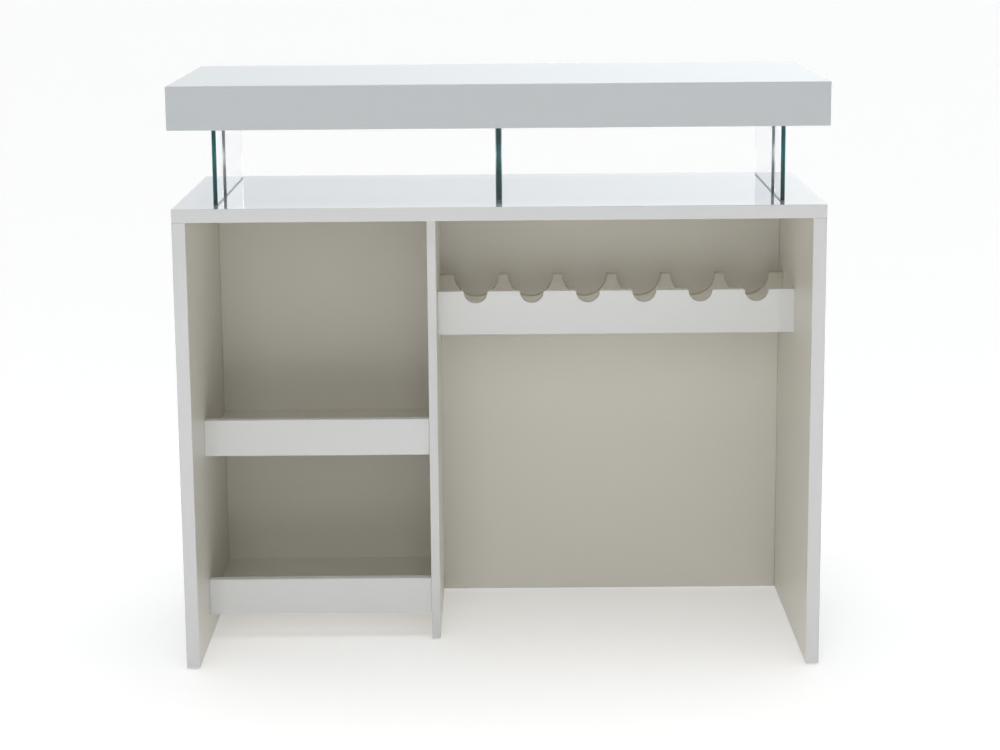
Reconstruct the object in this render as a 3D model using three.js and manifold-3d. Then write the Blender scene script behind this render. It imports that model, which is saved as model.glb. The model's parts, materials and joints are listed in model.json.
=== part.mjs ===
// Bar counter with shelves, seen from the server's side.
// A lacquered carcass of panels carries a counter slab, and three lines of glass lift a thick bar
// top above it. The left bay holds two lipped shelves, the right bay a rack for lying bottles.
// Millimetres, +Z up, the server stands at -Y, origin on the floor under the middle of the bar top.

import * as THREE from 'three';
import { mergeVertices } from 'three/addons/utils/BufferGeometryUtils.js';
import Module from 'manifold-3d';

// Overall sizes
const BAR_WIDTH = 1200;
const BAR_DEPTH = 500;
const BAR_HEIGHT = 1100;
const COUNTER_HEIGHT = 877;
const GLIDE_HEIGHT = 3;

// Carcass panels
const CARCASS_INSET = 3;
const CARCASS_DEPTH = 495;
const SIDE_THICKNESS = 25;
const COUNTER_THICKNESS = 25;
const BACK_THICKNESS = 15;
const DIVIDER_THICKNESS = 17;
const DIVIDER_SETBACK = 160;
const LEFT_BAY_WIDTH = 434;

// Lipped shelves in the left bay
const SHELF_THICKNESS = 19;
const LIP_THICKNESS = 18;
const LIP_HEIGHT = 71;
const LIP_SETBACK = 166;
const LOWER_SHELF_BOTTOM = 54;
const UPPER_SHELF_BOTTOM = 373;

// Bottle rack in the right bay: necks lie in the front board, bodies in the rear board
const RACK_THICKNESS = 18;
const RACK_BOTTOM = 595;
const RACK_FRONT_HEIGHT = 85;
const RACK_REAR_HEIGHT = 88;
const RACK_REAR_STANDOFF = 47;
const RACK_BOARD_SPACING = 179;
const NECK_NOTCH_RADIUS = 23;
const BODY_NOTCH_RADIUS = 45;
const NOTCH_EASE = 2.5;
const RACK_TOOTH_WIDTH = 19;
const RACK_LEAST_END_TOOTH = 24;

// Raised bar top: a folded cover closed below by a base board, with a block over each support
const BAR_TOP_THICKNESS = 80;
const COVER_WALL = 18;
const BASE_BOARD_THICKNESS = 16;
const BLOCK_WIDTH = 90;
const BLOCK_DEPTH = 220;

// Glass supports: a short pane, a steel tube round a tie rod, and a long pane, in one line
const GLASS_THICKNESS = 8;
const GLASS_END_INSET = 76;
const GLASS_SETBACK = 49;
const FRONT_PANE_DEPTH = 92;
const TUBE_FRONT_GAP = 24;
const TUBE_REAR_GAP = 5;
const TUBE_DIAMETER = 12;
const TUBE_WALL = 1.5;
const GLASS_REAR_SETBACK = 34;
const PAD_THICKNESS = 1.5;

// Fastenings
const ROD_DIAMETER = 8;
const NUT_ACROSS_CORNERS = 15;
const NUT_HEIGHT = 6;
const FLANGE_DIAMETER = 21;
const FLANGE_HEIGHT = 1.6;
const ROD_TAIL = 3;
const DOWEL_DIAMETER = 8;
const DOWEL_SHALLOW = 11;
const DOWEL_DEEP = 24;
const GLIDE_DIAMETER = 19;
const GLIDE_PIN_DIAMETER = 4;
const GLIDE_PIN_LENGTH = 10;
const GLIDE_INSET = 60;

// Clearances
const BORE_CLEARANCE = 0.3;
const END_CLEARANCE = 0.8;
const OVERCUT = 1;
const ROUND_SEGMENTS = 20;

// Places that several pieces share
const frontY = -BAR_DEPTH / 2;
const carcassBackY = frontY + CARCASS_DEPTH;
const backPanelY = carcassBackY - BACK_THICKNESS;
const carcassEndX = BAR_WIDTH / 2 - CARCASS_INSET;
const innerX = carcassEndX - SIDE_THICKNESS;
const dividerLeftX = -innerX + LEFT_BAY_WIDTH;
const dividerRightX = dividerLeftX + DIVIDER_THICKNESS;
const dividerFrontY = frontY + DIVIDER_SETBACK;
const panelBottomZ = GLIDE_HEIGHT;
const counterBottomZ = COUNTER_HEIGHT - COUNTER_THICKNESS;
const barBottomZ = BAR_HEIGHT - BAR_TOP_THICKNESS;
const blockBottomZ = barBottomZ + BASE_BOARD_THICKNESS;
const blockTopZ = BAR_HEIGHT - COVER_WALL;
const supportX = carcassEndX - GLASS_END_INSET;
const paneFrontY = frontY + GLASS_SETBACK;
const tubeY = paneFrontY + FRONT_PANE_DEPTH + TUBE_FRONT_GAP + TUBE_DIAMETER / 2;
const rearPaneY = tubeY + TUBE_DIAMETER / 2 + TUBE_REAR_GAP;
const rearPaneEndY = carcassBackY - GLASS_REAR_SETBACK;
const lipBackY = frontY + LIP_SETBACK + LIP_THICKNESS;
const rackRearY = backPanelY - RACK_REAR_STANDOFF - RACK_THICKNESS;
const rackFrontY = rackRearY - RACK_BOARD_SPACING;
const rodRadius = ROD_DIAMETER / 2;
const rodBoreRadius = rodRadius + BORE_CLEARANCE;

const X_AXIS = new THREE.Vector3(1, 0, 0);
const Y_AXIS = new THREE.Vector3(0, 1, 0);
const Z_AXIS = new THREE.Vector3(0, 0, 1);

const wasm = await Module();
wasm.setup();

// Finishes
const FINISHES = {
  lacquer: { color: 0xe9ebec, roughness: 0.12, metalness: 0 },
  satin: { color: 0xdcdad4, roughness: 0.4, metalness: 0 },
  board: { color: 0xb9a27f, roughness: 0.8, metalness: 0 },
  glass: { color: 0xb9d8d4, roughness: 0.03, metalness: 0, transparent: true, opacity: 0.35 },
  pad: { color: 0xe4eaea, roughness: 0.3, metalness: 0, transparent: true, opacity: 0.6 },
  steel: { color: 0xa9adb0, roughness: 0.3, metalness: 1 },
  beech: { color: 0xcfae7e, roughness: 0.75, metalness: 0 },
  plastic: { color: 0xd9d9d6, roughness: 0.5, metalness: 0 },
};

const bar = new THREE.Group();
bar.name = 'bar_counter';

function addPiece(name, geometry, finish) {
  const mesh = new THREE.Mesh(geometry, new THREE.MeshStandardMaterial(FINISHES[finish]));
  mesh.name = name;
  bar.add(mesh);
}

// A box between two corners.
function boxBetween(low, high) {
  const size = high.map((value, axis) => value - low[axis]);
  const geometry = new THREE.BoxGeometry(...size);
  return geometry.translate(...low.map((value, axis) => value + size[axis] / 2));
}

// A round bar that starts at a point and runs along an axis.
function roundBar(start, axis, length, radius) {
  const geometry = new THREE.CylinderGeometry(radius, radius, length, ROUND_SEGMENTS);
  geometry.translate(0, length / 2, 0);
  geometry.applyQuaternion(new THREE.Quaternion().setFromUnitVectors(Y_AXIS, axis));
  return geometry.translate(start.x, start.y, start.z);
}

function toSolid(geometry) {
  const bare = geometry.clone();
  bare.deleteAttribute('normal');
  bare.deleteAttribute('uv');
  const merged = mergeVertices(bare, 1e-4);
  const vertProperties = new Float32Array(merged.attributes.position.array);
  const triVerts = new Uint32Array(merged.index.array);
  return new wasm.Manifold(new wasm.Mesh({ numProp: 3, vertProperties, triVerts }));
}

function toGeometry(solid) {
  const mesh = solid.getMesh();
  const geometry = new THREE.BufferGeometry();
  geometry.setAttribute('position', new THREE.BufferAttribute(mesh.vertProperties, 3));
  geometry.setIndex(new THREE.BufferAttribute(mesh.triVerts, 1));
  geometry.computeVertexNormals();
  return geometry;
}

function cut(geometry, tools) {
  const solid = tools.reduce((rest, tool) => rest.subtract(toSolid(tool)), toSolid(geometry));
  return toGeometry(solid);
}

// Bores wait here, by panel, until the panel is cut.
const bores = {};

function addBore(panel, tool) {
  bores[panel] = bores[panel] ?? [];
  bores[panel].push(tool);
}

function addPanel(name, geometry, finish) {
  addPiece(name, cut(geometry, bores[name] ?? []), finish);
}

// A wooden dowel across a joint face, with a blind bore in each panel. The axis runs from one
// panel into the other.
function addDowel(name, point, axis, from, into) {
  const boreRadius = DOWEL_DIAMETER / 2 + BORE_CLEARANCE;
  const start = point.clone().addScaledVector(axis, -from.depth);
  addPiece(name, roundBar(start, axis, from.depth + into.depth, DOWEL_DIAMETER / 2), 'beech');
  const fromStart = start.clone().addScaledVector(axis, -END_CLEARANCE);
  addBore(from.panel, roundBar(fromStart, axis, from.depth + END_CLEARANCE + OVERCUT, boreRadius));
  const intoStart = point.clone().addScaledVector(axis, -OVERCUT);
  addBore(into.panel, roundBar(intoStart, axis, OVERCUT + into.depth + END_CLEARANCE, boreRadius));
}

// Dowels that carry the counter slab on the side panels and the divider.
function addCounterDowels() {
  const uprights = [
    { panel: 'left_side_panel', x: -carcassEndX + SIDE_THICKNESS / 2, front: frontY },
    { panel: 'divider_panel', x: dividerLeftX + DIVIDER_THICKNESS / 2, front: dividerFrontY },
    { panel: 'right_side_panel', x: carcassEndX - SIDE_THICKNESS / 2, front: frontY },
  ];
  for (const { panel, x, front } of uprights) {
    const depth = backPanelY - front;
    const places = { front: front + depth / 4, rear: backPanelY - depth / 4 };
    for (const [place, y] of Object.entries(places)) {
      const point = new THREE.Vector3(x, y, counterBottomZ);
      const from = { panel, depth: DOWEL_DEEP };
      const into = { panel: 'counter_top', depth: DOWEL_SHALLOW };
      addDowel(`${panel.replace('_panel', '')}_${place}_dowel`, point, Z_AXIS, from, into);
    }
  }
}

// One dowel at each end of a board that spans a bay.
function addEndDowels(board, leftUpright, rightUpright, leftX, rightX, y, z) {
  const leftPoint = new THREE.Vector3(leftX, y, z);
  const rightPoint = new THREE.Vector3(rightX, y, z);
  const inBoard = { panel: board, depth: DOWEL_DEEP };
  const inLeft = { panel: leftUpright, depth: DOWEL_SHALLOW };
  const inRight = { panel: rightUpright, depth: DOWEL_SHALLOW };
  addDowel(`${board}_left_dowel`, leftPoint, X_AXIS, inLeft, inBoard);
  addDowel(`${board}_right_dowel`, rightPoint, X_AXIS, inBoard, inRight);
}

// A shelf board with a tall lip along its front edge, flush below.
function addShelf(name, bottomZ) {
  const board = `${name}_shelf_board`;
  const middleY = (lipBackY + backPanelY) / 2;
  const middleZ = bottomZ + SHELF_THICKNESS / 2;
  addEndDowels(board, 'left_side_panel', 'divider_panel', -innerX, dividerLeftX, middleY, middleZ);
  const boardLow = [-innerX, lipBackY, bottomZ];
  const boardHigh = [dividerLeftX, backPanelY, bottomZ + SHELF_THICKNESS];
  addPanel(board, boxBetween(boardLow, boardHigh), 'satin');
  const lipLow = [-innerX, lipBackY - LIP_THICKNESS, bottomZ];
  const lipHigh = [dividerLeftX, lipBackY, bottomZ + LIP_HEIGHT];
  addPanel(`${name}_shelf_lip`, boxBetween(lipLow, lipHigh), 'lacquer');
}

// The upright outline of a rack board: a plain board whose top edge has a centred row of half-round
// notches with eased corners. Both boards have as many notches as bottle bodies fit side by side.
function rackOutline(width, height, notchRadius) {
  const pitch = 2 * BODY_NOTCH_RADIUS + RACK_TOOTH_WIDTH;
  const steps = Math.floor((width - 2 * (RACK_LEAST_END_TOOTH + BODY_NOTCH_RADIUS)) / pitch);
  const firstCentre = (width - steps * pitch) / 2;
  const ease = NOTCH_EASE / notchRadius;
  const outline = new THREE.Shape();
  outline.moveTo(0, 0);
  outline.lineTo(width, 0);
  outline.lineTo(width, height);
  for (let notch = steps; notch >= 0; notch -= 1) {
    const centre = firstCentre + notch * pitch;
    const cornerX = notchRadius * Math.cos(ease);
    const cornerY = height - notchRadius * Math.sin(ease);
    outline.lineTo(centre + notchRadius + NOTCH_EASE, height);
    outline.quadraticCurveTo(centre + notchRadius, height, centre + cornerX, cornerY);
    outline.absarc(centre, height, notchRadius, -ease, ease - Math.PI, true);
    outline.quadraticCurveTo(centre - notchRadius, height, centre - notchRadius - NOTCH_EASE, height);
  }
  outline.lineTo(0, height);
  outline.closePath();
  return outline;
}

function addRackBoard(name, boardFrontY, height, notchRadius, finish) {
  const middleY = boardFrontY + RACK_THICKNESS / 2;
  const dowelZ = RACK_BOTTOM + (RACK_FRONT_HEIGHT - BODY_NOTCH_RADIUS) / 2;
  addEndDowels(name, 'divider_panel', 'right_side_panel', dividerRightX, innerX, middleY, dowelZ);
  const outline = rackOutline(innerX - dividerRightX, height, notchRadius);
  const settings = { depth: RACK_THICKNESS, bevelEnabled: false, curveSegments: 12 };
  const geometry = new THREE.ExtrudeGeometry(outline, settings);
  geometry.rotateX(Math.PI / 2);
  geometry.translate(dividerRightX, boardFrontY + RACK_THICKNESS, RACK_BOTTOM);
  addPanel(name, geometry, finish);
}

// A round plastic glide with a pin, pressed into the bottom edge of a side panel.
function addGlides(panel, x) {
  const places = { front: frontY + GLIDE_INSET, rear: carcassBackY - GLIDE_INSET };
  for (const [place, y] of Object.entries(places)) {
    const radius = GLIDE_DIAMETER / 2;
    const pinRadius = GLIDE_PIN_DIAMETER / 2;
    const profile = [
      new THREE.Vector2(0, 0),
      new THREE.Vector2(radius - GLIDE_HEIGHT / 3, 0),
      new THREE.Vector2(radius, GLIDE_HEIGHT / 3),
      new THREE.Vector2(radius, GLIDE_HEIGHT),
      new THREE.Vector2(pinRadius, GLIDE_HEIGHT),
      new THREE.Vector2(pinRadius, GLIDE_HEIGHT + GLIDE_PIN_LENGTH),
      new THREE.Vector2(0, GLIDE_HEIGHT + GLIDE_PIN_LENGTH),
    ];
    const geometry = new THREE.LatheGeometry(profile, ROUND_SEGMENTS);
    geometry.rotateX(Math.PI / 2);
    geometry.translate(x, y, 0);
    addPiece(`${panel.replace('_panel', '')}_${place}_glide`, geometry, 'plastic');
    const boreStart = new THREE.Vector3(x, y, panelBottomZ - OVERCUT);
    const boreLength = OVERCUT + GLIDE_PIN_LENGTH + END_CLEARANCE;
    addBore(panel, roundBar(boreStart, Z_AXIS, boreLength, pinRadius + BORE_CLEARANCE));
  }
}

// A hexagon nut standing on a height, with the rod's bore through it.
function hexNut(x, bottomZ) {
  const hexagon = new THREE.Shape();
  const corners = Array.from({ length: 6 }, (_, corner) => {
    const angle = (corner * Math.PI) / 3;
    const reach = NUT_ACROSS_CORNERS / 2;
    return new THREE.Vector2(reach * Math.cos(angle), reach * Math.sin(angle));
  });
  hexagon.setFromPoints(corners);
  hexagon.holes.push(new THREE.Path().absarc(0, 0, rodBoreRadius, 0, 2 * Math.PI, true));
  const settings = { depth: NUT_HEIGHT, bevelEnabled: false, curveSegments: ROUND_SEGMENTS };
  return new THREE.ExtrudeGeometry(hexagon, settings).translate(x, tubeY, bottomZ);
}

// The flange nut that pulls the rod tight under the counter slab.
function flangeNut(x) {
  const flangeStart = new THREE.Vector3(x, tubeY, counterBottomZ - FLANGE_HEIGHT);
  const flange = roundBar(flangeStart, Z_AXIS, FLANGE_HEIGHT, FLANGE_DIAMETER / 2);
  const boreStart = new THREE.Vector3(x, tubeY, counterBottomZ - FLANGE_HEIGHT - OVERCUT);
  const bore = roundBar(boreStart, Z_AXIS, FLANGE_HEIGHT + 2 * OVERCUT, rodBoreRadius);
  const nutBottom = counterBottomZ - FLANGE_HEIGHT - NUT_HEIGHT;
  return toGeometry(toSolid(cut(flange, [bore])).add(toSolid(hexNut(x, nutBottom))));
}

// A steel tube as a turned ring, the height of the gap between the counter and the bar top.
function tieTube(x) {
  const outer = TUBE_DIAMETER / 2;
  const inner = outer - TUBE_WALL;
  const height = barBottomZ - COUNTER_HEIGHT;
  const profile = [
    new THREE.Vector2(inner, 0),
    new THREE.Vector2(outer, 0),
    new THREE.Vector2(outer, height),
    new THREE.Vector2(inner, height),
    new THREE.Vector2(inner, 0),
  ];
  const geometry = new THREE.LatheGeometry(profile, ROUND_SEGMENTS);
  return geometry.rotateX(Math.PI / 2).translate(x, tubeY, COUNTER_HEIGHT);
}

// One line of glass: pads, panes, tube, rod and nuts, with the block over them in the bar top.
function addSupport(name, x) {
  const panes = {
    front: [paneFrontY, paneFrontY + FRONT_PANE_DEPTH],
    rear: [rearPaneY, rearPaneEndY],
  };
  const left = x - GLASS_THICKNESS / 2;
  const right = x + GLASS_THICKNESS / 2;
  const padTopZ = COUNTER_HEIGHT + PAD_THICKNESS;
  for (const [place, [startY, endY]] of Object.entries(panes)) {
    const pane = boxBetween([left, startY, padTopZ], [right, endY, barBottomZ]);
    addPiece(`${name}_${place}_glass`, pane, 'glass');
    const pad = boxBetween([left, startY, COUNTER_HEIGHT], [right, endY, padTopZ]);
    addPiece(`${name}_${place}_glass_pad`, pad, 'pad');
  }

  addPiece(`${name}_tie_tube`, tieTube(x), 'steel');
  addPiece(`${name}_lower_nut`, flangeNut(x), 'steel');
  const rodBottomZ = counterBottomZ - FLANGE_HEIGHT - NUT_HEIGHT - ROD_TAIL;
  const rodTopZ = blockTopZ - END_CLEARANCE;
  const nutSeatZ = rodTopZ - ROD_TAIL - NUT_HEIGHT;
  const rodStart = new THREE.Vector3(x, tubeY, rodBottomZ);
  addPiece(`${name}_tie_rod`, roundBar(rodStart, Z_AXIS, rodTopZ - rodBottomZ, rodRadius), 'steel');
  addPiece(`${name}_upper_nut`, hexNut(x, nutSeatZ), 'steel');

  const rodBore = roundBar(rodStart, Z_AXIS, BAR_HEIGHT - rodBottomZ, rodBoreRadius);
  addBore('counter_top', rodBore);
  addBore('bar_top_base_board', rodBore);
  const pocketRadius = NUT_ACROSS_CORNERS / 2 + BORE_CLEARANCE;
  const pocketStart = new THREE.Vector3(x, tubeY, nutSeatZ);
  const pocket = roundBar(pocketStart, Z_AXIS, blockTopZ - nutSeatZ + OVERCUT, pocketRadius);
  const blockLow = [x - BLOCK_WIDTH / 2, tubeY - BLOCK_DEPTH / 2, blockBottomZ];
  const blockHigh = [x + BLOCK_WIDTH / 2, tubeY + BLOCK_DEPTH / 2, blockTopZ];
  const block = cut(boxBetween(blockLow, blockHigh), [rodBore, pocket]);
  addPiece(`${name}_bar_top_block`, block, 'board');
}

// The folded bar-top cover, open below, and the board that closes it.
function addBarTop() {
  const halfX = BAR_WIDTH / 2;
  const halfY = BAR_DEPTH / 2;
  const outer = boxBetween([-halfX, -halfY, barBottomZ], [halfX, halfY, BAR_HEIGHT]);
  const inX = halfX - COVER_WALL;
  const inY = halfY - COVER_WALL;
  const hollow = boxBetween([-inX, -inY, barBottomZ - OVERCUT], [inX, inY, blockTopZ]);
  addPiece('bar_top_cover', cut(outer, [hollow]), 'lacquer');
  const base = boxBetween([-inX, -inY, barBottomZ], [inX, inY, blockBottomZ]);
  addPanel('bar_top_base_board', base, 'lacquer');
}

function addCarcass() {
  const sideLow = [-carcassEndX, frontY, panelBottomZ];
  const sideHigh = [-innerX, carcassBackY, counterBottomZ];
  addPanel('left_side_panel', boxBetween(sideLow, sideHigh), 'lacquer');
  const rightLow = [innerX, frontY, panelBottomZ];
  const rightHigh = [carcassEndX, carcassBackY, counterBottomZ];
  addPanel('right_side_panel', boxBetween(rightLow, rightHigh), 'lacquer');
  const counterLow = [-carcassEndX, frontY, counterBottomZ];
  const counterHigh = [carcassEndX, carcassBackY, COUNTER_HEIGHT];
  addPanel('counter_top', boxBetween(counterLow, counterHigh), 'lacquer');
  const backLow = [-innerX, backPanelY, panelBottomZ];
  const backHigh = [innerX, carcassBackY, counterBottomZ];
  addPanel('back_panel', boxBetween(backLow, backHigh), 'lacquer');
  const dividerLow = [dividerLeftX, dividerFrontY, panelBottomZ];
  const dividerHigh = [dividerRightX, backPanelY, counterBottomZ];
  addPanel('divider_panel', boxBetween(dividerLow, dividerHigh), 'satin');
}

// One dowel from each side panel into the edge of the back panel, at mid height.
function addBackPanelDowels() {
  const middleY = (backPanelY + carcassBackY) / 2;
  const middleZ = (panelBottomZ + counterBottomZ) / 2;
  addEndDowels('back_panel', 'left_side_panel', 'right_side_panel', -innerX, innerX, middleY, middleZ);
}

addShelf('lower', LOWER_SHELF_BOTTOM);
addShelf('upper', UPPER_SHELF_BOTTOM);
addRackBoard('rack_front_board', rackFrontY, RACK_FRONT_HEIGHT, NECK_NOTCH_RADIUS, 'lacquer');
addRackBoard('rack_rear_board', rackRearY, RACK_REAR_HEIGHT, BODY_NOTCH_RADIUS, 'satin');
addCounterDowels();
addBackPanelDowels();
addGlides('left_side_panel', -carcassEndX + SIDE_THICKNESS / 2);
addGlides('right_side_panel', carcassEndX - SIDE_THICKNESS / 2);
addSupport('left', -supportX);
addSupport('middle', 0);
addSupport('right', supportX);
addBarTop();
addCarcass();

export default bar;
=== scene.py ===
"""A white lacquered bar counter with glass supports, lipped shelves and a bottle rack."""

import json
import math

import bmesh
import bpy
from mathutils import Matrix, Vector


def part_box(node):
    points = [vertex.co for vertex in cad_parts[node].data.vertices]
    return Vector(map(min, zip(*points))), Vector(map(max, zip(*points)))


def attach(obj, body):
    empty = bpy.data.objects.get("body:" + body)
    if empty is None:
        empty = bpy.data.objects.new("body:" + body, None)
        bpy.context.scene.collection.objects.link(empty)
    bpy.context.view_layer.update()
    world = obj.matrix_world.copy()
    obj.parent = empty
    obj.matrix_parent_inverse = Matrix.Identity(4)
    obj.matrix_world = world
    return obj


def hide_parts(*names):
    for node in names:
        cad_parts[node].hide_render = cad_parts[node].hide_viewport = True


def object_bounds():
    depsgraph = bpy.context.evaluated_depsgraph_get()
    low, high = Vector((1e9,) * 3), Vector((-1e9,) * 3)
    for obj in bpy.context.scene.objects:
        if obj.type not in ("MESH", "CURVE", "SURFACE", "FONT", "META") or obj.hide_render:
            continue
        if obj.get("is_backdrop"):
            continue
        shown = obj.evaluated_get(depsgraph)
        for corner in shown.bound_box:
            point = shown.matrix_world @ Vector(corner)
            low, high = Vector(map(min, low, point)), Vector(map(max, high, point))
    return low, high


bl_info = {
    "name": "Bar counter with shelves",
    "version": (1, 0, 0),
    "blender": (4, 5, 0),
    "location": "View3D > Sidebar > Bar counter",
    "description": "Finishes the panels, rack, glass and stage of a bar counter",
    "category": "Object",
}

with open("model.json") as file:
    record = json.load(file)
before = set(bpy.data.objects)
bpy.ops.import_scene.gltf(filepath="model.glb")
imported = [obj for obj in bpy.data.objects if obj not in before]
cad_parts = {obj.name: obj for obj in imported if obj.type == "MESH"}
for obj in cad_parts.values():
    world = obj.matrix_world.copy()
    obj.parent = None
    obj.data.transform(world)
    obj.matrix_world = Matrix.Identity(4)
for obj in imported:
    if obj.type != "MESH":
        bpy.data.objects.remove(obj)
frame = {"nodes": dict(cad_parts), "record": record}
CAD_LOW, CAD_HIGH = (corner.copy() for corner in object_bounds())

MM = 0.001
BODY = "root"
SENSOR_WIDTH = 36.0
SLOTS = {part["node"]: part["material_slot"] for part in frame["record"]["subparts"]}

CARCASS_NODES = ("left_side_panel", "right_side_panel", "counter_top", "back_panel")
SHELF_NAMES = ("upper", "lower")
SUPPORT_NAMES = ("left", "middle", "right")
PANE_NAMES = ("front", "rear")
FIXING_ENDINGS = ("_dowel", "_tie_rod", "_nut", "_block", "_glide")

# Where the cupboard's inside begins: within the side panels, before the back panel, under the counter
# and behind the divider's front edge.
INNER_HALF_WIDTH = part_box("right_side_panel")[0].x
INNER_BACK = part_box("back_panel")[0].y
INNER_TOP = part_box("counter_top")[0].z
DIVIDER_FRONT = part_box("divider_panel")[0].y
# How far the inner finish reaches past those planes, and how far the white band goes round an edge.
FINISH_MARGIN = 0.5 * MM
EDGE_BAND = 0.7 * MM
# A pane's faces look along X. Where the normal's part along X is smaller than this, it is an edge.
PANE_FACE = 0.9

# Sides of the round cutters and tubes.
DRUM_SIDES = 96
ROLLER_SIDES = 64
TUBE_SIDES = 40
# How long a cutter is for each unit of the board or tube that it goes through.
DRUM_REACH = 2.0
MOUTH_REACH = 1.8
BORE_REACH = 1.1
# Points that lie closer than this after two cuts are one point.
SEAM = 0.05 * MM

# Between which parts of a direction the backdrop changes: in height, from left to right, and in front.
BACKDROP_HEIGHTS = (0.12, 0.4)
BACKDROP_SIDES = (-0.5, 0.5)
BACKDROP_FRONT = (-0.6, 0.3)


class FinishSettings(bpy.types.PropertyGroup):
    """Colours and gloss of the materials."""

    lacquer: bpy.props.FloatVectorProperty(
        name="Lacquer",
        description="White of the lacquered panels",
        subtype="COLOR",
        default=(0.735, 0.74, 0.735),
        min=0,
        max=1,
    )
    # The bar top is the same white lacquer as the panels; its darker, cooler tone is painted shade and
    # painted cool reflection.
    shaded_bar_lacquer: bpy.props.FloatVectorProperty(
        name="Bar lacquer",
        description="Cooler white of the bar top",
        subtype="COLOR",
        default=(0.59, 0.623, 0.638),
        min=0,
        max=1,
    )
    # The faces inside the cupboard are the same white; their warmer tone is painted shade, the warm
    # light that bounces about inside.
    inner_shade_lacquer: bpy.props.FloatVectorProperty(
        name="Inner lacquer",
        description="Warmer white of the faces inside the cupboard",
        subtype="COLOR",
        default=(0.775, 0.75, 0.68),
        min=0,
        max=1,
    )
    # The rear rack board is the same lacquer as the other inner faces; its darker, duller warm tone is
    # painted shade, where the counter and the front board shade it.
    shaded_rear_lacquer: bpy.props.FloatVectorProperty(
        name="Rear rack lacquer",
        description="Dull warm undercoat of the rack's rear board",
        subtype="COLOR",
        default=(0.585, 0.55, 0.47),
        min=0,
        max=1,
    )
    gloss_roughness: bpy.props.FloatProperty(
        name="Gloss roughness",
        description="Roughness of the outer high-gloss faces",
        default=0.09,
        min=0,
        max=1,
    )
    satin_roughness: bpy.props.FloatProperty(
        name="Satin roughness",
        description="Roughness of the inner faces",
        default=0.38,
        min=0,
        max=1,
    )
    glass: bpy.props.FloatVectorProperty(
        name="Glass",
        description="Tint of what is seen through a pane",
        subtype="COLOR",
        default=(0.945, 0.967, 0.978),
        min=0,
        max=1,
    )
    glass_edge: bpy.props.FloatVectorProperty(
        name="Glass edge",
        description="Deep green of the panes' polished edges",
        subtype="COLOR",
        default=(0.002, 0.17, 0.165),
        min=0,
        max=1,
    )
    steel: bpy.props.FloatVectorProperty(
        name="Steel",
        description="Colour of the satin steel tubes, rods and nuts",
        subtype="COLOR",
        default=(0.72, 0.735, 0.75),
        min=0,
        max=1,
    )
    beech: bpy.props.FloatVectorProperty(
        name="Beech",
        description="Colour of the wooden dowels",
        subtype="COLOR",
        default=(0.56, 0.37, 0.18),
        min=0,
        max=1,
    )
    board: bpy.props.FloatVectorProperty(
        name="Raw board",
        description="Colour of the unfinished blocks in the bar top",
        subtype="COLOR",
        default=(0.36, 0.25, 0.14),
        min=0,
        max=1,
    )
    pad: bpy.props.FloatVectorProperty(
        name="Pad",
        description="Colour of the soft clear pads under the glass",
        subtype="COLOR",
        default=(0.84, 0.865, 0.865),
        min=0,
        max=1,
    )
    glide: bpy.props.FloatVectorProperty(
        name="Glide",
        description="Colour of the plastic glides",
        subtype="COLOR",
        default=(0.64, 0.64, 0.62),
        min=0,
        max=1,
    )


class PieceSettings(bpy.types.PropertyGroup):
    """Fine sizes of the finished pieces."""

    panel_arris: bpy.props.FloatProperty(
        name="Panel arris",
        description="Radius of the lacquered edges",
        default=1.2 * MM,
        min=0,
        unit="LENGTH",
    )
    inner_arris: bpy.props.FloatProperty(
        name="Inner arris",
        description="Radius of the edges of boards that are set between others",
        default=0.6 * MM,
        min=0,
        unit="LENGTH",
    )
    rack_arris: bpy.props.FloatProperty(
        name="Rack arris",
        description="Radius of the rack boards' edges",
        default=0.84 * MM,
        min=0,
        unit="LENGTH",
    )
    bar_arris: bpy.props.FloatProperty(
        name="Bar top arris",
        description="Radius of the bar top's outer edges",
        default=1.6 * MM,
        min=0,
        unit="LENGTH",
    )
    cover_wall: bpy.props.FloatProperty(
        name="Cover wall",
        description="Wall of the folded bar-top cover",
        default=18 * MM,
        min=0,
        unit="LENGTH",
    )
    glass_arris: bpy.props.FloatProperty(
        name="Glass arris",
        description="Flat polished on the edges of the panes",
        default=0.5 * MM,
        min=0,
        unit="LENGTH",
    )
    pad_arris: bpy.props.FloatProperty(
        name="Pad arris",
        description="Radius of the clear pads' edges",
        default=0.25 * MM,
        min=0,
        unit="LENGTH",
    )
    neck_radius: bpy.props.FloatProperty(
        name="Neck notch radius",
        description="Half-round notch in the front rack board",
        default=23 * MM,
        min=0,
        unit="LENGTH",
    )
    body_radius: bpy.props.FloatProperty(
        name="Body notch radius",
        description="Half-round notch in the rear rack board",
        default=45 * MM,
        min=0,
        unit="LENGTH",
    )
    notch_pitch: bpy.props.FloatProperty(
        name="Notch pitch",
        description="From one bottle to the next",
        default=109 * MM,
        min=0,
        unit="LENGTH",
    )
    notch_count: bpy.props.IntProperty(
        name="Notches",
        description="Bottles side by side",
        default=6,
        min=1,
    )
    notch_ease: bpy.props.FloatProperty(
        name="Notch ease",
        description="Rounding of the notches' upper corners",
        default=2.5 * MM,
        min=0,
        unit="LENGTH",
    )
    tube_wall: bpy.props.FloatProperty(
        name="Tube wall",
        description="Wall of the steel tubes",
        default=1.5 * MM,
        min=0,
        unit="LENGTH",
    )


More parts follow.
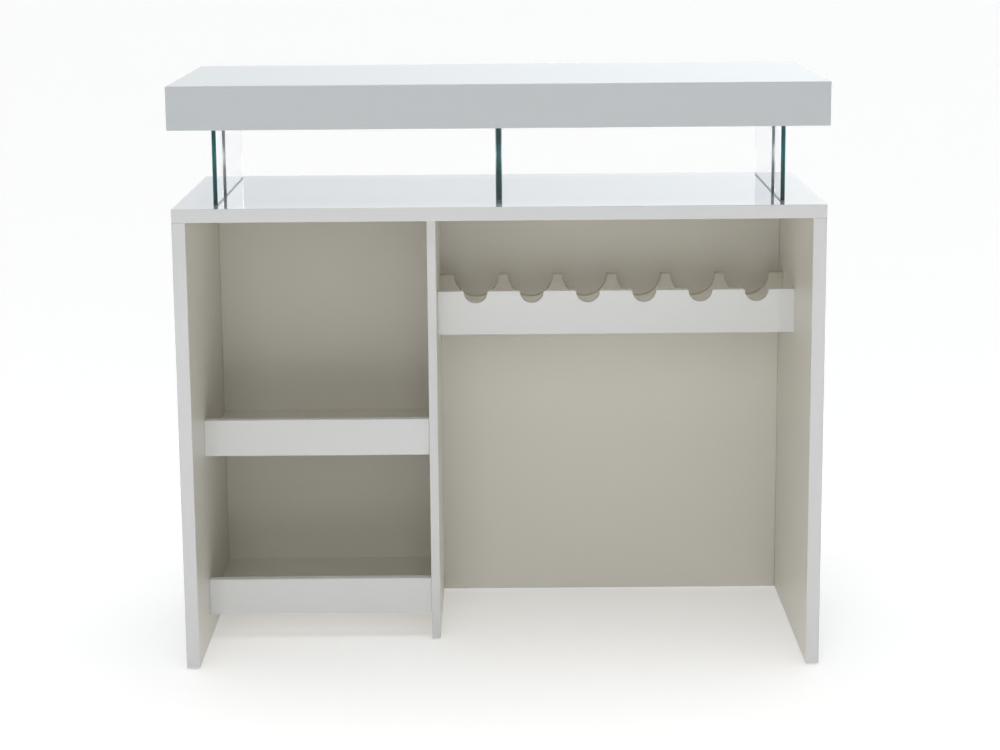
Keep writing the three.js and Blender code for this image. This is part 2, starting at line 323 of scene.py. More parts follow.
class StageSettings(bpy.types.PropertyGroup):
    """Floor, light and camera."""

    floor: bpy.props.FloatVectorProperty(
        name="Floor",
        description="Colour of the pale floor",
        subtype="COLOR",
        default=(0.97, 0.97, 0.97),
        min=0,
        max=1,
    )
    floor_reach: bpy.props.FloatProperty(
        name="Floor reach",
        description="From the bar to the floor's edge",
        default=60.0,
        min=1,
        unit="LENGTH",
    )
    floor_glow: bpy.props.FloatProperty(
        name="Floor glow",
        description="Light that the floor gives from below, as a light table does",
        default=0.26,
        min=0,
    )
    sky_strength: bpy.props.FloatProperty(
        name="Sky strength",
        description="Even light from all round",
        default=0.03,
        min=0,
    )
    backdrop_strength: bpy.props.FloatProperty(
        name="Backdrop strength",
        description="Brightness of the low backdrop behind the bar",
        default=1.0,
        min=0,
    )
    backdrop_colour: bpy.props.FloatVectorProperty(
        name="Backdrop colour",
        description="Cool white of the backdrop and the sky",
        subtype="COLOR",
        default=(0.93, 0.97, 1.0),
        min=0,
        max=1,
    )
    backdrop_left: bpy.props.FloatProperty(
        name="Backdrop left",
        description="Share of the backdrop's light on the left",
        default=0.72,
        min=0,
    )
    backdrop_right: bpy.props.FloatProperty(
        name="Backdrop right",
        description="Share of the backdrop's light on the right",
        default=1.28,
        min=0,
    )
    backdrop_white: bpy.props.FloatProperty(
        name="Backdrop white",
        description="Brightness of the backdrop where it is looked at",
        default=1.08,
        min=0,
    )
    overhead_strength: bpy.props.FloatProperty(
        name="Overhead strength",
        description="Strength of the wide soft light above the bar",
        default=2.2,
        min=0,
    )
    overhead_spread: bpy.props.FloatProperty(
        name="Overhead spread",
        description="How wide the light above the bar is seen",
        default=math.radians(70),
        min=0,
        unit="ROTATION",
    )
    fill_power: bpy.props.FloatProperty(
        name="Fill power",
        description="Power of the large soft light before the bar",
        default=34.0,
        min=0,
        unit="POWER",
    )
    fill_size: bpy.props.FloatProperty(
        name="Fill size",
        description="Diameter of the soft light before the bar",
        default=2.4,
        min=0,
        unit="LENGTH",
    )
    fill_place: bpy.props.FloatVectorProperty(
        name="Fill place",
        description="Where the soft light before the bar stands",
        subtype="TRANSLATION",
        default=(-0.3, -4.3, 2.4),
    )
    fill_target: bpy.props.FloatVectorProperty(
        name="Fill target",
        description="The point that the soft light is turned to",
        subtype="TRANSLATION",
        default=(0.0, 0.0, 0.5),
    )
    camera_distance: bpy.props.FloatProperty(
        name="Camera distance",
        description="From the bar's front to the camera",
        default=3.995,
        min=0,
        unit="LENGTH",
    )
    camera_height: bpy.props.FloatProperty(
        name="Camera height",
        description="Above the floor",
        default=1.424,
        min=0,
        unit="LENGTH",
    )
    camera_pitch: bpy.props.FloatProperty(
        name="Camera pitch",
        description="Downward tilt of the camera",
        default=0.187,
        unit="ROTATION",
    )
    camera_roll: bpy.props.FloatProperty(
        name="Camera roll",
        description="Turn of the camera about its view",
        default=-0.008,
        unit="ROTATION",
    )
    camera_lens: bpy.props.FloatProperty(
        name="Lens",
        description="Focal length on a sensor 36 mm wide",
        default=79.8,
        min=1,
    )
    camera_shift: bpy.props.FloatProperty(
        name="Shift",
        description="Vertical shift of the lens",
        default=-0.055,
    )


class BarCounterSettings(bpy.types.PropertyGroup):
    """All settings of the bar counter."""

    finish: bpy.props.PointerProperty(type=FinishSettings)
    piece: bpy.props.PointerProperty(type=PieceSettings)
    stage: bpy.props.PointerProperty(type=StageSettings)


class Value:
    """A number that changes over a surface: a socket that takes part in sums."""

    def __init__(self, maker, socket):
        self.maker = maker
        self.socket = socket

    def math(self, operation, *others):
        inputs = dict(enumerate((self, *others)))
        return self.maker.node("ShaderNodeMath", {"operation": operation}, inputs)

    def __add__(self, other):
        return self.math("ADD", other)

    def __radd__(self, other):
        return self.math("ADD", other)

    def __sub__(self, other):
        return self.math("SUBTRACT", other)

    def __rsub__(self, other):
        return (self * -1) + other

    def __mul__(self, other):
        return self.math("MULTIPLY", other)

    def __rmul__(self, other):
        return self.math("MULTIPLY", other)

    def __lt__(self, other):
        return self.math("LESS_THAN", other)

    def __gt__(self, other):
        return self.math("GREATER_THAN", other)


class NodeMaker:
    """A shader tree whose nodes are added by expressions."""

    def __init__(self, tree):
        self.tree = tree

    def node(self, kind, settings, inputs, output=0):
        """Adds a node, sets it up, feeds its sockets and returns one output."""
        made = self.tree.nodes.new(kind)
        for key, value in settings.items():
            setattr(made, key, value)
        for key, value in inputs.items():
            self.feed(made.inputs[key], value)
        return Value(self, made.outputs[output])

    def feed(self, socket, value):
        if isinstance(value, Value):
            self.tree.links.new(value.socket, socket)
        else:
            socket.default_value = value

    def axes(self, vector):
        """The three parts of a vector as separate values."""
        split = self.node("ShaderNodeSeparateXYZ", {}, {"Vector": vector})
        return [Value(self, socket) for socket in split.socket.node.outputs]

    def ramp(self, value, limits, levels):
        """A smooth step from one level to another between two limits of a value."""
        inputs = dict(enumerate((value, *limits, *levels)))
        return self.node("ShaderNodeMapRange", {"interpolation_type": "SMOOTHSTEP"}, inputs)


class Shader(NodeMaker):
    """A material with one main surface."""

    def __init__(self, name):
        self.material = bpy.data.materials.new(name)
        self.material.use_nodes = True
        super().__init__(self.material.node_tree)
        self.surface = self.tree.nodes["Principled BSDF"]

    def set(self, **sockets):
        """Sets or feeds the main shader's sockets, named with underscores for spaces."""
        for key, value in sockets.items():
            self.feed(self.surface.inputs[key.replace("_", " ")], value)

    def place(self, scale=(1, 1, 1)):
        """Object coordinates in metres, stretched by a scale."""
        where = self.node("ShaderNodeTexCoord", {}, {}, "Object")
        return self.node("ShaderNodeMapping", {}, {"Vector": where, "Scale": scale})

    def noise(self, scale, detail=2.0, stretch=(1, 1, 1), roughness=0.5):
        inputs = {
            "Vector": self.place(stretch),
            "Scale": scale,
            "Detail": detail,
            "Roughness": roughness,
        }
        return self.node("ShaderNodeTexNoise", {}, inputs)

    def blend(self, factor, first, second):
        """A colour between two colours."""
        first, second = (
            tone if isinstance(tone, Value) else (*tone, 1) for tone in (first, second)
        )
        inputs = {0: factor, 6: first, 7: second}
        return self.node("ShaderNodeMix", {"data_type": "RGBA"}, inputs, 2)

    def bump(self, height, distance, strength):
        inputs = {"Height": height, "Distance": distance, "Strength": strength}
        self.set(Normal=self.node("ShaderNodeBump", {}, inputs, "Normal"))

    def orange_peel(self):
        """The fine ripple of sprayed lacquer."""
        ripple = self.noise(scale=260.0) * 0.6 + self.noise(scale=45.0) * 0.4
        self.bump(ripple, distance=0.05 * MM, strength=0.35)


def shade(colour, factor):
    """A lighter or darker tone of a colour."""
    return tuple(min(1.0, channel * factor) for channel in colour[:3])


def clouded(shader, colour, darker=0.985):
    """A colour that drifts faintly lighter and darker."""
    clouds = shader.noise(scale=2.3, detail=3.0)
    return shader.blend(clouds, shade(colour, darker), shade(colour, 1.01))


def gloss(shader, finish):
    """The roughness of high gloss with faint wiping marks."""
    wiping = shader.noise(scale=9.0, detail=4.0, stretch=(1.0, 6.0, 1.0))
    return (0.7 + wiping * 0.6) * finish.gloss_roughness


def lacquered(shader, tone, roughness, coat):
    """Sprayed lacquer of a tone, with a clear coat."""
    shader.set(
        Base_Color=tone,
        Roughness=roughness,
        Coat_Weight=coat,
        Coat_Roughness=0.03,
        IOR=1.5,
    )
    shader.orange_peel()
    return shader.material


def plain_lacquer(name, colour, finish):
    """High-gloss lacquer of one colour."""
    shader = Shader(name)
    return lacquered(shader, clouded(shader, colour), gloss(shader, finish), 0.4)


def two_sided_lacquer(shader, finish, inside):
    """White high gloss outside; where the inside mask is one, satin without a coat in a warmer tone
    that is painted shade.
    """
    white = clouded(shader, finish.lacquer)
    warm = clouded(shader, finish.inner_shade_lacquer, 0.98)
    satin_gain = finish.satin_roughness - finish.gloss_roughness
    roughness = gloss(shader, finish) + inside * satin_gain
    return lacquered(shader, shader.blend(inside, white, warm), roughness, 1 - inside)


def lacquer_material(finish):
    """The high-gloss lacquer of the lips and the rack's front, a touch lighter than the panels' as
    painted light, since they are lit more from below.
    """
    return plain_lacquer("lit_white_lacquer", shade(finish.lacquer, 1.08), finish)


def bar_material(finish):
    """The panels' white high-gloss lacquer on the bar top, darker and cooler as painted shade and
    painted cool reflection.
    """
    return plain_lacquer("shaded_bar_lacquer", finish.shaded_bar_lacquer, finish)


def carcass_material(finish):
    """Lacquered carcass panels: gloss outside, satin on the faces inside, warmer there as painted
    shade.
    """
    shader = Shader("carcass_lacquer")
    x, y, z = shader.axes(shader.place())
    inside_width = x.math("ABSOLUTE") < INNER_HALF_WIDTH + FINISH_MARGIN
    inside_depth = y < INNER_BACK + FINISH_MARGIN
    inside_height = z < INNER_TOP + FINISH_MARGIN
    return two_sided_lacquer(shader, finish, inside_width * inside_depth * inside_height)


def satin_material(finish):
    """Inner boards: satin faces, warmer as painted shade, and a white gloss band on the front edge."""
    shader = Shader("white_satin_lacquer")
    depth = shader.axes(shader.place())[1]
    return two_sided_lacquer(shader, finish, depth > DIVIDER_FRONT + EDGE_BAND)


def rear_board_material(finish):
    """Rear board of the rack in a darker, warmer tone that is painted shade, dull and faintly brushed
    along its length.
    """
    shader = Shader("rear_board_painted_shade")
    strokes = shader.noise(scale=40.0, detail=4.0, stretch=(0.1, 1.0, 2.0))
    shader.set(
        Base_Color=shader.blend(
            strokes, shade(finish.shaded_rear_lacquer, 0.96), shade(finish.shaded_rear_lacquer, 1.04)
        ),
        Roughness=finish.satin_roughness + strokes * 0.2,
    )
    shader.orange_peel()
    return shader.material


def glass_material(finish):
    """Clear float glass, nearly white through its faces and deep green through its edges."""
    shader = Shader("clear_float_glass")
    facing = shader.axes(shader.node("ShaderNodeTexCoord", {}, {}, "Normal"))[0]
    on_edge = facing.math("ABSOLUTE") < PANE_FACE
    shader.set(
        Base_Color=shader.blend(on_edge, finish.glass, finish.glass_edge),
        Roughness=shader.noise(scale=30.0) * 0.012,
        IOR=1.52,
        Transmission_Weight=1.0,
    )
    return shader.material


def pad_material(finish):
    """Soft clear pads that show as a thin pale line under the glass."""
    shader = Shader("clear_pad")
    cloud = shader.noise(scale=400.0)
    shader.set(
        Base_Color=shader.blend(cloud, shade(finish.pad, 0.955), shade(finish.pad, 1.045)),
        Roughness=0.12 + cloud * 0.1,
        Transmission_Weight=0.8,
        IOR=1.45,
    )
    shader.bump(cloud, distance=0.03 * MM, strength=0.3)
    return shader.material


def steel_material(finish):
    """Satin steel with fine drawn lines along Z."""
    shader = Shader("satin_steel")
    lines = shader.noise(scale=2600.0, detail=3.0, stretch=(1.0, 1.0, 0.02))
    patches = shader.noise(scale=60.0)
    shader.set(
        Base_Color=shader.blend(patches, shade(finish.steel, 0.9), shade(finish.steel, 1.1)),
        Metallic=1.0,
        Roughness=0.34 + lines * 0.16,
    )
    shader.bump(lines, distance=0.01 * MM, strength=0.5)
    return shader.material


def beech_material(finish):
    """Beech dowels with short dark flecks."""
    shader = Shader("beech")
    grain = shader.noise(scale=900.0, detail=4.0, stretch=(0.15, 1.0, 0.15))
    flecks = shader.noise(scale=1400.0, stretch=(0.3, 1.0, 0.3)) > 0.62
    shader.set(
        Base_Color=shader.blend(
            grain * 0.7 + flecks * 0.3, shade(finish.beech, 1.15), shade(finish.beech, 0.7)
        ),
        Roughness=0.6 + grain * 0.2,
    )
    shader.bump(grain, distance=0.05 * MM, strength=0.6)
    return shader.material


def board_material(finish):
    """Raw fibreboard with pressed fibres."""
    shader = Shader("raw_fibreboard")
    fibres = shader.noise(scale=380.0, detail=6.0, stretch=(1.0, 1.0, 4.0), roughness=0.7)
    shader.set(
        Base_Color=shader.blend(fibres, shade(finish.board, 0.75), shade(finish.board, 1.25)),
        Roughness=0.8 + fibres * 0.15,
    )
    shader.bump(fibres, distance=0.2 * MM, strength=0.6)
    return shader.material


def glide_material(finish):
    """Pale moulded plastic, scuffed where it slides."""
    shader = Shader("glide_plastic")
    pores = shader.noise(scale=700.0, detail=3.0)
    scuffs = shader.noise(scale=180.0, detail=4.0, stretch=(1.0, 0.1, 1.0))
    shader.set(
        Base_Color=shader.blend(scuffs, shade(finish.glide, 1.094), shade(finish.glide, 0.906)),
        Roughness=0.42 + scuffs * 0.25,
    )
    shader.bump(pores, distance=0.04 * MM, strength=0.5)
    return shader.material


def floor_material(colour, glow):
    """A plain pale studio floor that glows like a light table."""
    shader = Shader("pale_floor")
    clouds = shader.noise(scale=1.2)
    tone = shader.blend(clouds, shade(colour, 0.992), shade(colour, 1.0))
    shader.set(
        Base_Color=tone,
        Emission_Color=tone,
        Emission_Strength=glow,
        Roughness=0.6 + clouds * 0.1,
        Specular_IOR_Level=0.2,
    )
    return shader.material


FINISHES = {
    "bar": bar_material,
    "carcass": carcass_material,
    "rear_board": rear_board_material,
    "white_gloss_lacquer": lacquer_material,
    "white_satin_lacquer": satin_material,
    "clear_glass": glass_material,
    "clear_pad": pad_material,
    "steel": steel_material,
    "beech_dowel": beech_material,
    "raw_board": board_material,
    "glide_plastic": glide_material,
}
made_materials = {}


def finish_for(name, settings):
    """The material of a slot or group, made the first time that it is asked for."""
    if name not in made_materials:
        made_materials[name] = FINISHES[name](settings.finish)
    return made_materials[name]


def settle(piece, nodes, settings, finish=None):
    """Gives a finished piece its material and lets it stand for its nodes."""
    slot = SLOTS[nodes[0]]
    piece.data.materials.clear()
    piece.data.materials.append(finish_for(finish or slot, settings))
    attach(piece, BODY)
    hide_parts(*nodes)


def piece_from(name, shape):
    """A new object at the origin from a bmesh, which is freed."""
    mesh = bpy.data.meshes.new(name)
    shape.to_mesh(mesh)
    shape.free()
    piece = bpy.data.objects.new(name, mesh)
    bpy.context.scene.collection.objects.link(piece)
    return piece


def box_shape(low, high):
    """A bmesh box between two corners."""
    shape = bmesh.new()
    size = high - low
    place = Matrix.Translation((low + high) / 2) @ Matrix.Diagonal((*size, 1))
    bmesh.ops.create_cube(shape, size=1, matrix=place)
    return shape


def round_edges(shape, edges, radius, segments):
    """Rounds edges and shades only the narrow new faces smooth."""
    result = bmesh.ops.bevel(
        shape,
        geom=edges,
        offset=radius,
        offset_type="OFFSET",
        segments=segments,
        profile=0.5,
        affect="EDGES",
        clamp_overlap=True,
    )
    for face in result["faces"]:
        face.smooth = segments > 1


def sharp_edges(shape, least=math.radians(40)):
    return [edge for edge in shape.edges if edge.is_manifold and edge.calc_face_angle() > least]


def finished_panel(node, arris, settings, segments=3, finish=None):
    """A lacquered panel: the node's box with softened edges."""
    shape = box_shape(*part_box(node))
    round_edges(shape, shape.edges[:], arris, segments)
    piece = piece_from(f"finished_{node}", shape)
    settle(piece, [node], settings, finish)
    return piece


def geometry_tree(name, inputs):
    """A Geometry Nodes tree with named inputs and one geometry output."""
    tree = bpy.data.node_groups.new(name, "GeometryNodeTree")
    for label, kind in inputs:
        tree.interface.new_socket(label, in_out="INPUT", socket_type=kind)
    tree.interface.new_socket("Geometry", in_out="OUTPUT", socket_type="NodeSocketGeometry")
    return tree


class GeometryBuilder:
    """Adds nodes to a Geometry Nodes tree and links them by name."""

    def __init__(self, tree):
        self.tree = tree
        self.inputs = tree.nodes.new("NodeGroupInput").outputs

    def node(self, kind, settings, sockets):
        made = self.tree.nodes.new(kind)
        for key, value in settings.items():
            setattr(made, key, value)
        for key, value in sockets.items():
            target = made.inputs[key]
            if isinstance(value, bpy.types.NodeSocket):
                self.tree.links.new(value, target)
            else:
                target.default_value = value
        return made.outputs

    def line(self, start, step, count):
        """A row of points."""
        sockets = {"Start Location": start, "Offset": step, "Count": count}
        return self.node("GeometryNodeMeshLine", {"mode": "OFFSET"}, sockets)[0]

    def cylinder(self, sides, radius, depth):
        sockets = {"Vertices": sides, "Radius": radius, "Depth": depth}
        return self.node("GeometryNodeMeshCylinder", {"fill_type": "NGON"}, sockets)[0]

    def copies(self, points, shape, turn):
        """A shape at every point, as real geometry."""
        sockets = {"Points": points, "Instance": shape, "Rotation": turn}
        placed = self.node("GeometryNodeInstanceOnPoints", {}, sockets)
        return self.node("GeometryNodeRealizeInstances", {}, {"Geometry": placed[0]})[0]

    def cut(self, shape, tool):
        """A shape less a tool."""
        settings = {"operation": "DIFFERENCE", "solver": "EXACT"}
        sockets = {"Mesh 1": shape, "Mesh 2": tool}
        return self.node("GeometryNodeMeshBoolean", settings, sockets)[0]

    def finish(self, geometry, material):
        """Realizes the instances, sets the material and ends the tree."""
        real = self.node("GeometryNodeRealizeInstances", {}, {"Geometry": geometry})
        dressed = self.node(
            "GeometryNodeSetMaterial", {}, {"Geometry": real[0], "Material": material}
        )
        out = self.tree.nodes.new("NodeGroupOutput")
        self.tree.links.new(dressed[0], out.inputs[0])


def notched_board_tree():
    """A board with a row of half-round notches, cut by drums, and mouths eased by two rollers each."""
    inputs = (
        ("Centre", "NodeSocketVector"),
        ("Size", "NodeSocketVector"),
        ("First Notch", "NodeSocketVector"),
        ("Pitch", "NodeSocketVector"),
        ("Notches", "NodeSocketInt"),
        ("Radius", "NodeSocketFloat"),
        ("Ease", "NodeSocketFloat"),
        ("Mouth Size", "NodeSocketVector"),
        ("First Roller", "NodeSocketVector"),
        ("Roller Pitch", "NodeSocketVector"),
        ("Cut Length", "NodeSocketFloat"),
        ("Material", "NodeSocketMaterial"),
    )
    build = GeometryBuilder(geometry_tree("notched_board", inputs))
    given = build.inputs
    board = build.node("GeometryNodeMeshCube", {}, {"Size": given["Size"]})
    placed = build.node(
        "GeometryNodeTransform", {}, {"Geometry": board[0], "Translation": given["Centre"]}
    )
    row = build.line(given["First Notch"], given["Pitch"], given["Notches"])
    across = (math.pi / 2, 0, 0)
    drum = build.cylinder(DRUM_SIDES, given["Radius"], given["Cut Length"])
    roller = build.cylinder(ROLLER_SIDES, given["Ease"], given["Cut Length"])
    block = build.node("GeometryNodeMeshCube", {}, {"Size": given["Mouth Size"]})
    pair = build.line(given["First Roller"], given["Roller Pitch"], 2)
    mouth = build.cut(block[0], build.copies(pair, roller, across))
    notched = build.cut(placed[0], build.copies(row, drum, across))
    eased = build.cut(notched, build.copies(row, mouth, (0, 0, 0)))
    build.finish(eased, given["Material"])
    return build.tree


def tube_row_tree():
    """A row of upright tubes on a line of points."""
    inputs = (
        ("First", "NodeSocketVector"),
        ("Step", "NodeSocketVector"),
        ("Count", "NodeSocketInt"),
        ("Outer Radius", "NodeSocketFloat"),
        ("Inner Radius", "NodeSocketFloat"),
        ("Length", "NodeSocketFloat"),
        ("Overcut", "NodeSocketFloat"),
        ("Material", "NodeSocketMaterial"),
    )
    build = GeometryBuilder(geometry_tree("tube_row", inputs))
    given = build.inputs
    outer = build.cylinder(TUBE_SIDES, given["Outer Radius"], given["Length"])
    inner = build.cylinder(TUBE_SIDES, given["Inner Radius"], given["Overcut"])
    row = build.line(given["First"], given["Step"], given["Count"])
    build.finish(build.copies(row, build.cut(outer, inner), (0, 0, 0)), given["Material"])
    return build.tree


def grown_mesh(tree, values):
    """Runs a tree with the given inputs and returns its result as a plain mesh."""
    carrier = bpy.data.objects.new(tree.name, bpy.data.meshes.new(tree.name))
    bpy.context.scene.collection.objects.link(carrier)
    modifier = carrier.modifiers.new("grow", "NODES")
    modifier.node_group = tree
    for item in tree.interface.items_tree:
        if item.in_out == "INPUT":
            modifier[item.identifier] = values[item.name]
    evaluated = carrier.evaluated_get(bpy.context.evaluated_depsgraph_get())
    mesh = bpy.data.meshes.new_from_object(evaluated)
    carrier.modifiers.remove(modifier)
    bpy.data.objects.remove(carrier)
    if not mesh.polygons:
        raise RuntimeError(f"{tree.name} grew no faces")
    return mesh


def shape_of(mesh):
    """A bmesh from a plain mesh, with points merged that lie as close as a seam between two cuts."""
    shape = bmesh.new()
    shape.from_mesh(mesh)
    bmesh.ops.remove_doubles(shape, verts=shape.verts, dist=SEAM)
    bmesh.ops.recalc_face_normals(shape, faces=shape.faces)
    return shape


class CarcassOperator(bpy.types.Operator):
    """Finish the side panels, the counter slab, the back panel and the divider"""

    bl_idname = "bar_counter.carcass"
    bl_label = "Carcass panels"

    def execute(self, context):
        settings = context.scene.bar_counter
        for node in CARCASS_NODES:
            finished_panel(node, settings.piece.panel_arris, settings, finish="carcass")
        finished_panel("divider_panel", settings.piece.panel_arris, settings)
        return {"FINISHED"}


class ShelfOperator(bpy.types.Operator):
    """Finish the shelf boards and their tall front lips"""

    bl_idname = "bar_counter.shelves"
    bl_label = "Lipped shelves"

    def execute(self, context):
        settings = context.scene.bar_counter
        for name in SHELF_NAMES:
            finished_panel(f"{name}_shelf_board", settings.piece.inner_arris, settings)
            finished_panel(f"{name}_shelf_lip", settings.piece.panel_arris, settings)
        return {"FINISHED"}


class RackOperator(bpy.types.Operator):
    """Grow the two notched boards of the bottle rack"""

    bl_idname = "bar_counter.rack"
    bl_label = "Bottle rack"

    def execute(self, context):
        settings = context.scene.bar_counter
        tree = notched_board_tree()
        front, rear = "rack_front_board", "rack_rear_board"
        self.board(tree, front, settings.piece.neck_radius, SLOTS[front], settings)
        self.board(tree, rear, settings.piece.body_radius, "rear_board", settings)
        return {"FINISHED"}

    def board(self, tree, node, radius, finish, settings):
        piece = settings.piece
        low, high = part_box(node)
        centre = (low + high) / 2
        reach = piece.notch_pitch * (piece.notch_count - 1) / 2
        thickness = high.y - low.y
        ease = piece.notch_ease
        # A roller touches the top edge and the drum, so that their faces run into each other.
        roller = math.sqrt((radius + ease) ** 2 - ease**2)
        depth = ease * radius / (radius + ease)
        values = {
            "Centre": centre,
            "Size": high - low,
            "First Notch": (centre.x - reach, centre.y, high.z),
            "Pitch": (piece.notch_pitch, 0, 0),
            "Notches": piece.notch_count,
            "Radius": radius,
            "Ease": ease,
            "Mouth Size": (2 * roller, MOUTH_REACH * thickness, 2 * depth),
            "First Roller": (-roller, 0, -ease),
            "Roller Pitch": (2 * roller, 0, 0),
            "Cut Length": DRUM_REACH * thickness,
            "Material": finish_for(finish, settings),
        }
        shape = shape_of(grown_mesh(tree, values))
        round_edges(shape, sharp_edges(shape), piece.rack_arris, segments=2)
        settle(piece_from(f"finished_{node}", shape), [node], settings, finish)


class BarTopOperator(bpy.types.Operator):
    """Fold the bar-top cover and set the base board into it"""

    bl_idname = "bar_counter.bar_top"
    bl_label = "Bar top"

    def execute(self, context):
        settings = context.scene.bar_counter
        piece = settings.piece
        low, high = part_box("bar_top_cover")
        shape = box_shape(low, high)
        outer = shape.edges[:]
        bottom = min(shape.faces, key=lambda face: face.calc_center_median().z)
        bmesh.ops.inset_region(shape, faces=[bottom], thickness=piece.cover_wall)
        raised = bmesh.ops.extrude_face_region(shape, geom=[bottom])
        lift = high.z - low.z - piece.cover_wall
        verts = [part for part in raised["geom"] if isinstance(part, bmesh.types.BMVert)]
        bmesh.ops.translate(shape, verts=verts, vec=(0, 0, lift))
        bmesh.ops.delete(shape, geom=[bottom], context="FACES_ONLY")
        round_edges(shape, outer, piece.bar_arris, segments=4)
        bmesh.ops.recalc_face_normals(shape, faces=shape.faces)
        settle(piece_from("finished_bar_top_cover", shape), ["bar_top_cover"], settings, "bar")
        finished_panel("bar_top_base_board", piece.inner_arris, settings, finish="bar")
        return {"FINISHED"}


class GlassOperator(bpy.types.Operator):
    """Polish the panes and lay the clear pads under them"""

    bl_idname = "bar_counter.glass"
    bl_label = "Glass supports"

    def execute(self, context):
        settings = context.scene.bar_counter
        for support in SUPPORT_NAMES:
            for pane in PANE_NAMES:
                node = f"{support}_{pane}_glass"
                piece = finished_panel(node, settings.piece.glass_arris, settings, segments=1)
                piece.visible_shadow = False
                finished_panel(f"{node}_pad", settings.piece.pad_arris, settings, segments=2)
        return {"FINISHED"}


class TieOperator(bpy.types.Operator):
    """Stand the steel tubes between the panes"""

    bl_idname = "bar_counter.ties"
    bl_label = "Steel tubes"

    def execute(self, context):
        settings = context.scene.bar_counter
        nodes = [f"{support}_tie_tube" for support in SUPPORT_NAMES]
        boxes = [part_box(node) for node in nodes]
        centres = [(low + high) / 2 for low, high in boxes]
        size = boxes[0][1] - boxes[0][0]
        values = {
            "First": centres[0],
            "Step": centres[1] - centres[0],
            "Count": len(nodes),
            "Outer Radius": size.x / 2,
            "Inner Radius": size.x / 2 - settings.piece.tube_wall,
            "Length": size.z,
            "Overcut": BORE_REACH * size.z,
            "Material": finish_for(SLOTS[nodes[0]], settings),
        }
        shape = shape_of(grown_mesh(tube_row_tree(), values))
        for face in shape.faces:
            face.smooth = abs(face.normal.z) < 0.5
        settle(piece_from("finished_tie_tubes", shape), nodes, settings)
        return {"FINISHED"}


class FixingOperator(bpy.types.Operator):
    """Give the dowels, rods, nuts, blocks and glides their materials"""

    bl_idname = "bar_counter.fixings"
    bl_label = "Dowels, rods and glides"

    def execute(self, context):
        settings = context.scene.bar_counter
        for node, piece in frame["nodes"].items():
            if node.endswith(FIXING_ENDINGS):
                piece.data.materials.clear()
                piece.data.materials.append(finish_for(SLOTS[node], settings))
        return {"FINISHED"}


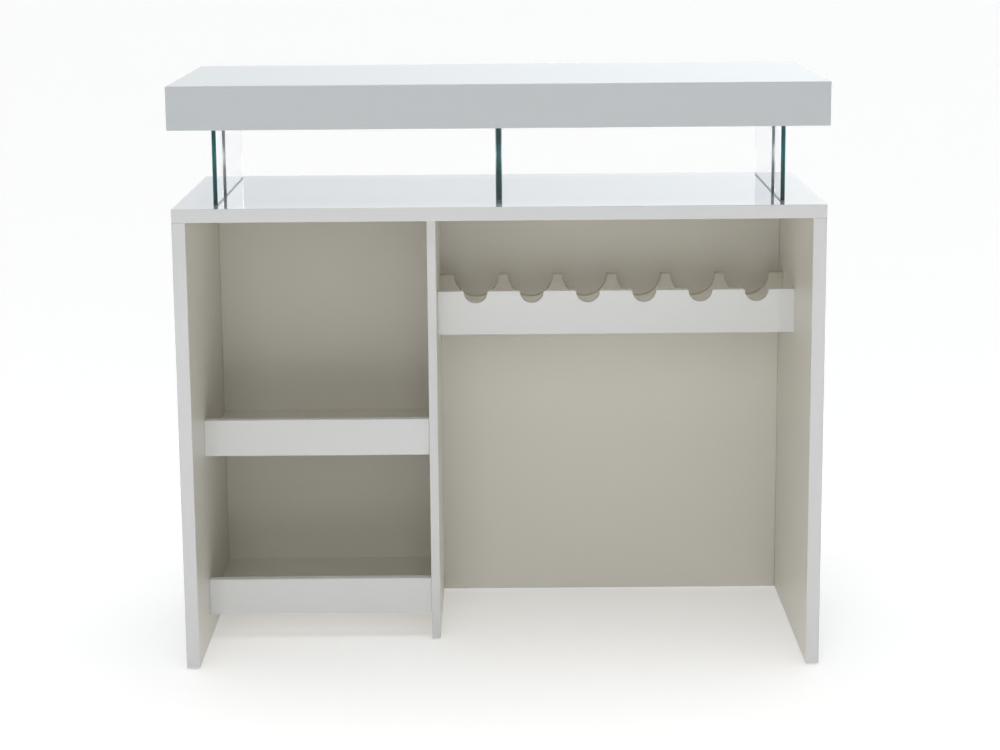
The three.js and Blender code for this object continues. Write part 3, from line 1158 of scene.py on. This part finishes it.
class StageOperator(bpy.types.Operator):
    """Lay the pale floor and set the light and the camera"""

    bl_idname = "bar_counter.stage"
    bl_label = "Floor, light and camera"

    def execute(self, context):
        stage = context.scene.bar_counter.stage
        self.lay_floor(stage)
        self.light(context.scene, stage)
        self.aim_camera(context.scene, stage)
        context.scene.view_settings.view_transform = "Standard"
        return {"FINISHED"}

    def lay_floor(self, stage):
        shape = bmesh.new()
        bmesh.ops.create_grid(shape, x_segments=8, y_segments=8, size=stage.floor_reach)
        floor = piece_from("studio_floor", shape)
        floor.data.materials.append(floor_material(stage.floor, stage.floor_glow))
        floor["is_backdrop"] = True

    def light(self, scene, stage):
        scene.world = self.backdrop(stage)
        overhead = self.lamp(scene, "overhead", "SUN", stage.overhead_strength)
        overhead.data.angle = stage.overhead_spread
        fill = self.lamp(scene, "fill", "AREA", stage.fill_power)
        fill.data.shape = "DISK"
        fill.data.size = stage.fill_size
        fill.location = stage.fill_place
        aim = Vector(stage.fill_target) - fill.location
        fill.rotation_euler = aim.to_track_quat("-Z", "Y").to_euler()
        fill.visible_camera = False

    def lamp(self, scene, name, kind, energy):
        data = bpy.data.lights.new(name, kind)
        data.energy = energy
        lamp = bpy.data.objects.new(name, data)
        scene.collection.objects.link(lamp)
        return lamp

    def backdrop(self, stage):
        """A low ring of light, which lights matt faces only from behind the bar and looks white."""
        world = bpy.data.worlds.new("studio")
        world.use_nodes = True
        maker = NodeMaker(world.node_tree)
        x, y, z = maker.axes(maker.node("ShaderNodeTexCoord", {}, {}, "Generated"))
        low = maker.ramp(z, BACKDROP_HEIGHTS, (stage.backdrop_strength, 0.0))
        side = maker.ramp(x, BACKDROP_SIDES, (stage.backdrop_left, stage.backdrop_right))
        ahead = maker.ramp(y, BACKDROP_FRONT, (1.0, 0.0))
        matt, direct, through = (
            maker.node("ShaderNodeLightPath", {}, {}, f"Is {kind} Ray")
            for kind in ("Diffuse", "Camera", "Transmission")
        )
        lit = low * side * (1 - matt * ahead) + stage.sky_strength
        seen = direct.math("MAXIMUM", through)
        background = world.node_tree.nodes["Background"]
        maker.feed(background.inputs["Strength"], lit + seen * (stage.backdrop_white - lit))
        maker.feed(background.inputs["Color"], (*stage.backdrop_colour, 1))
        return world

    def aim_camera(self, scene, stage):
        data = bpy.data.cameras.new("camera")
        data.sensor_width = SENSOR_WIDTH
        data.lens = stage.camera_lens
        data.shift_y = stage.camera_shift
        camera = bpy.data.objects.new("camera", data)
        place = Matrix.Translation((0, CAD_LOW.y - stage.camera_distance, stage.camera_height))
        tilt = Matrix.Rotation(math.pi / 2 - stage.camera_pitch, 4, "X")
        roll = Matrix.Rotation(stage.camera_roll, 4, "Z")
        camera.matrix_world = place @ tilt @ roll
        scene.collection.objects.link(camera)
        scene.camera = camera


OPERATORS = (
    StageOperator,
    CarcassOperator,
    ShelfOperator,
    RackOperator,
    BarTopOperator,
    GlassOperator,
    TieOperator,
    FixingOperator,
)


class BarCounterPanel(bpy.types.Panel):
    """The bar counter's operators and settings"""

    bl_idname = "VIEW3D_PT_bar_counter"
    bl_label = "Bar counter"
    bl_space_type = "VIEW_3D"
    bl_region_type = "UI"
    bl_category = "Bar counter"

    def draw(self, context):
        settings = context.scene.bar_counter
        for operator in OPERATORS:
            self.layout.operator(operator.bl_idname)
        for group in (settings.finish, settings.piece, settings.stage):
            column = self.layout.column()
            for name in group.bl_rna.properties.keys():
                if name not in {"rna_type", "name"}:
                    column.prop(group, name)


CLASSES = (
    FinishSettings,
    PieceSettings,
    StageSettings,
    BarCounterSettings,
    *OPERATORS,
    BarCounterPanel,
)


def register():
    for cls in CLASSES:
        bpy.utils.register_class(cls)
    bpy.types.Scene.bar_counter = bpy.props.PointerProperty(type=BarCounterSettings)


def unregister():
    del bpy.types.Scene.bar_counter
    for cls in reversed(CLASSES):
        bpy.utils.unregister_class(cls)


def main():
    register()
    bpy.ops.bar_counter.stage()
    bpy.ops.bar_counter.carcass()
    bpy.ops.bar_counter.shelves()
    bpy.ops.bar_counter.rack()
    bpy.ops.bar_counter.bar_top()
    bpy.ops.bar_counter.glass()
    bpy.ops.bar_counter.ties()
    bpy.ops.bar_counter.fixings()


if __name__ == "__main__":
    main()
